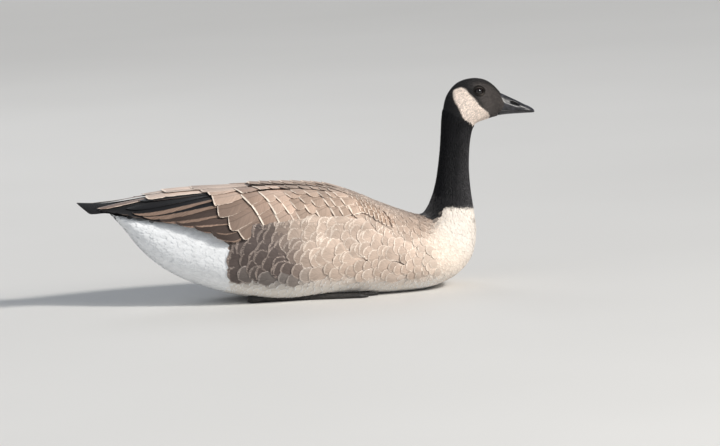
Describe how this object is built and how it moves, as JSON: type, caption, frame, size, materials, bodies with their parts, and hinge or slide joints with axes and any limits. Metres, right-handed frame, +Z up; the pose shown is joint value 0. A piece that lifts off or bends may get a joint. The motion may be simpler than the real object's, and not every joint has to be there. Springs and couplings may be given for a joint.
{
  "type": "canada goose",
  "caption": "Life-size Canada goose resting on its belly with folded wings, neck up and the feet tucked under, as a still museum model.",
  "frame": {"origin": "on the floor below the middle of the bird's bounding box", "axes": "+X towards the bill, +Y to the bird's left, +Z up"},
  "size_m": [0.6525, 0.1932, 0.2885],
  "materials": {
    "body_feathers": "soft feathers, pale fringes",
    "black_feathers": "short dense black feathers",
    "wing_feathers": "brown vanes with pale edges",
    "tail_feathers": "smooth black vanes",
    "bill": "black horn, satin",
    "eye": "wet dark brown",
    "leg_skin": "scaly black-grey skin"
  },
  "bodies": {
    "root": {"torso": "body_feathers", "neck": "black_feathers", "head": "black_feathers", "bill_upper": "bill", "bill_lower": "bill", "eye_left": "eye", "eye_right": "eye", "wing_left": "wing_feathers", "wing_right": "wing_feathers", "tail": "tail_feathers", "leg_left": "leg_skin", "leg_right": "leg_skin", "foot_left": "leg_skin", "foot_right": "leg_skin"}
  },
  "joints": []
}
